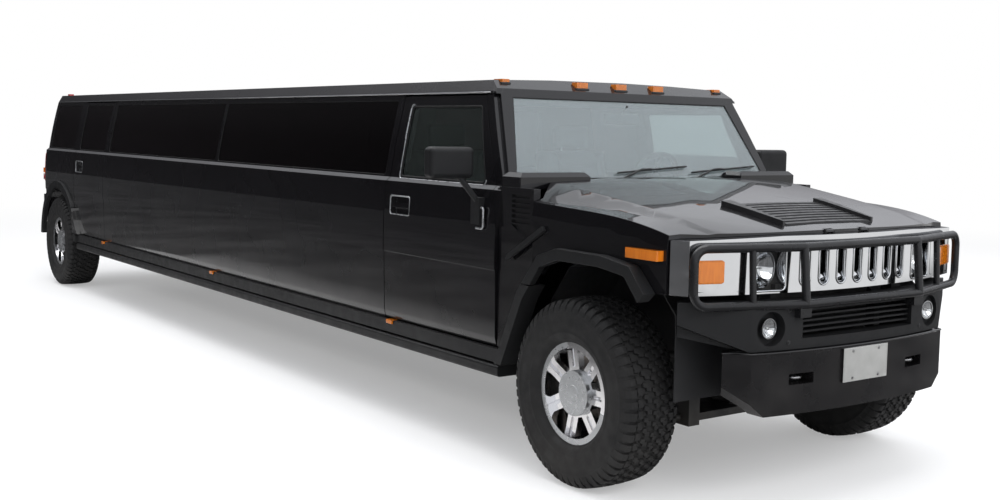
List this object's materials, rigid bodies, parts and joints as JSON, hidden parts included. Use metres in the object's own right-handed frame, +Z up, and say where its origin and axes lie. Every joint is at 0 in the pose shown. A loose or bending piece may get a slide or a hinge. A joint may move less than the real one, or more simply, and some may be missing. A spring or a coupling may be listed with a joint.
{
  "type": "stretch limousine",
  "caption": "Stretch limousine made from a large off-road wagon, with long dark side glass, tubular front guard, chrome grille, opening doors, hood and liftgate, and steering.",
  "frame": {"origin": "on the ground, at the middle of the overall box", "axes": "+X forward, +Y to the driver's side, +Z up"},
  "size_m": [9.843, 2.56, 1.9019],
  "materials": {
    "paint_black": "gloss",
    "plastic_grey": "satin grained",
    "plastic_black": "satin",
    "guard_black": "satin",
    "chrome_trim": "polished",
    "rim_chrome": "polished",
    "tyre_rubber": "matte",
    "glass_dark": "clear, very dark tint",
    "glass_tint": "clear, light tint",
    "glass_clear": "clear",
    "lens_clear": "clear",
    "lens_amber": "clear amber",
    "lens_red": "clear red",
    "chassis_steel": "matte",
    "exhaust_steel": "dull",
    "floor_paint": "matte",
    "plate_metal": "satin",
    "trim_dark": "matte",
    "seat_leather": "satin"
  },
  "bodies": {
    "root": {"amber_lamps": "lens_amber", "arch_liners": "plastic_black", "bumper_front": "plastic_grey", "bumper_rear": "plastic_grey", "cowl": "paint_black", "dashboard": "trim_dark", "driveline": "chassis_steel", "engine": "chassis_steel", "exhaust": "exhaust_steel", "fixed_glass": "glass_dark", "floor": "floor_paint", "frame_rails": "chassis_steel", "front_guard": "guard_black", "front_lamps": "lens_clear", "front_seats": "seat_leather", "front_suspension": "chassis_steel", "fuel_tank": "chassis_steel", "grille": "chrome_trim", "lounge_seats": "seat_leather", "nose_support": "chassis_steel", "partition": "trim_dark", "plate": "plate_metal", "quarter_panels": "paint_black", "rear_axle": "chassis_steel", "rear_lamps": "lens_red", "roof": "paint_black", "running_boards": "plastic_grey", "side_panels": "paint_black", "sill_mouldings": "plastic_grey", "windscreen": "glass_clear", "wipers": "plastic_black"},
    "hood": {"hood": "paint_black", "hood_vent": "plastic_black", "front_flares": "plastic_grey", "side_markers": "lens_amber", "hood_latches": "plastic_grey"},
    "liftgate": {"liftgate": "paint_black", "liftgate_glass": "glass_dark"},
    "steering_wheel": {"steering_wheel": "trim_dark"},
    "door_front_left": {"door_front_left": "paint_black", "door_front_glass_left": "glass_tint", "mirror_left": "plastic_grey"},
    "door_rear_left": {"door_rear_left": "paint_black", "door_rear_glass_left": "glass_dark"},
    "knuckle_left": {"knuckle_left": "chassis_steel"},
    "wheel_front_left": {"tyre_front_left": "tyre_rubber", "rim_front_left": "rim_chrome"},
    "wheel_rear_left": {"tyre_rear_left": "tyre_rubber", "rim_rear_left": "rim_chrome"},
    "door_front_right": {"door_front_right": "paint_black", "door_front_glass_right": "glass_tint", "mirror_right": "plastic_grey"},
    "door_rear_right": {"door_rear_right": "paint_black", "door_rear_glass_right": "glass_dark"},
    "knuckle_right": {"knuckle_right": "chassis_steel"},
    "wheel_front_right": {"tyre_front_right": "tyre_rubber", "rim_front_right": "rim_chrome"},
    "wheel_rear_right": {"tyre_rear_right": "tyre_rubber", "rim_rear_right": "rim_chrome"}
  },
  "joints": [
    {"name": "steer_right", "type": "hinge", "parent": "root", "child": "knuckle_right", "pos_m": [4.074, -0.812, 0.4365], "axis": [0, 0, 1], "range_deg": [-33, 33]},
    {"name": "steer_left", "type": "hinge", "parent": "root", "child": "knuckle_left", "pos_m": [4.074, 0.812, 0.4365], "axis": [0, 0, 1], "range_deg": [-33, 33]},
    {"name": "steering_wheel_turn", "type": "hinge", "parent": "root", "child": "steering_wheel", "pos_m": [2.946, 0.47, 1.338], "axis": [-0.9063, 0, 0.4226], "range_deg": [-500, 500]},
    {"name": "wheel_front_right_spin", "type": "hinge", "parent": "knuckle_right", "child": "wheel_front_right", "pos_m": [4.074, -0.8815, 0.4365], "axis": [0, 1, 0], "continuous": true},
    {"name": "wheel_front_left_spin", "type": "hinge", "parent": "knuckle_left", "child": "wheel_front_left", "pos_m": [4.074, 0.8815, 0.4365], "axis": [0, 1, 0], "continuous": true},
    {"name": "wheel_rear_right_spin", "type": "hinge", "parent": "root", "child": "wheel_rear_right", "pos_m": [-4.124, -0.8815, 0.4365], "axis": [0, 1, 0], "continuous": true},
    {"name": "wheel_rear_left_spin", "type": "hinge", "parent": "root", "child": "wheel_rear_left", "pos_m": [-4.124, 0.8815, 0.4365], "axis": [0, 1, 0], "continuous": true},
    {"name": "door_front_right_open", "type": "hinge", "parent": "root", "child": "door_front_right", "pos_m": [3.41, -1.006, 0.9], "axis": [0, 0, 1], "range_deg": [0, 66]},
    {"name": "door_rear_right_open", "type": "hinge", "parent": "root", "child": "door_rear_right", "pos_m": [-2.778, -1.006, 0.9], "axis": [0, 0, 1], "range_deg": [0, 66]},
    {"name": "door_front_left_open", "type": "hinge", "parent": "root", "child": "door_front_left", "pos_m": [3.41, 1.006, 0.9], "axis": [0, 0, -1], "range_deg": [0, 66]},
    {"name": "door_rear_left_open", "type": "hinge", "parent": "root", "child": "door_rear_left", "pos_m": [-2.778, 1.006, 0.9], "axis": [0, 0, -1], "range_deg": [0, 66]},
    {"name": "hood_open", "type": "hinge", "parent": "root", "child": "hood", "pos_m": [4.781, 0, 1.205], "axis": [0, 1, 0], "range_deg": [0, 60]},
    {"name": "liftgate_open", "type": "hinge", "parent": "root", "child": "liftgate", "pos_m": [-4.807, 0, 1.803], "axis": [0, 1, 0], "range_deg": [0, 84]}
  ],
  "couplings": [
    {"joint": "steer_left", "follows": "steer_right", "ratio": 1},
    {"joint": "steering_wheel_turn", "follows": "steer_right", "ratio": 15}
  ]
}
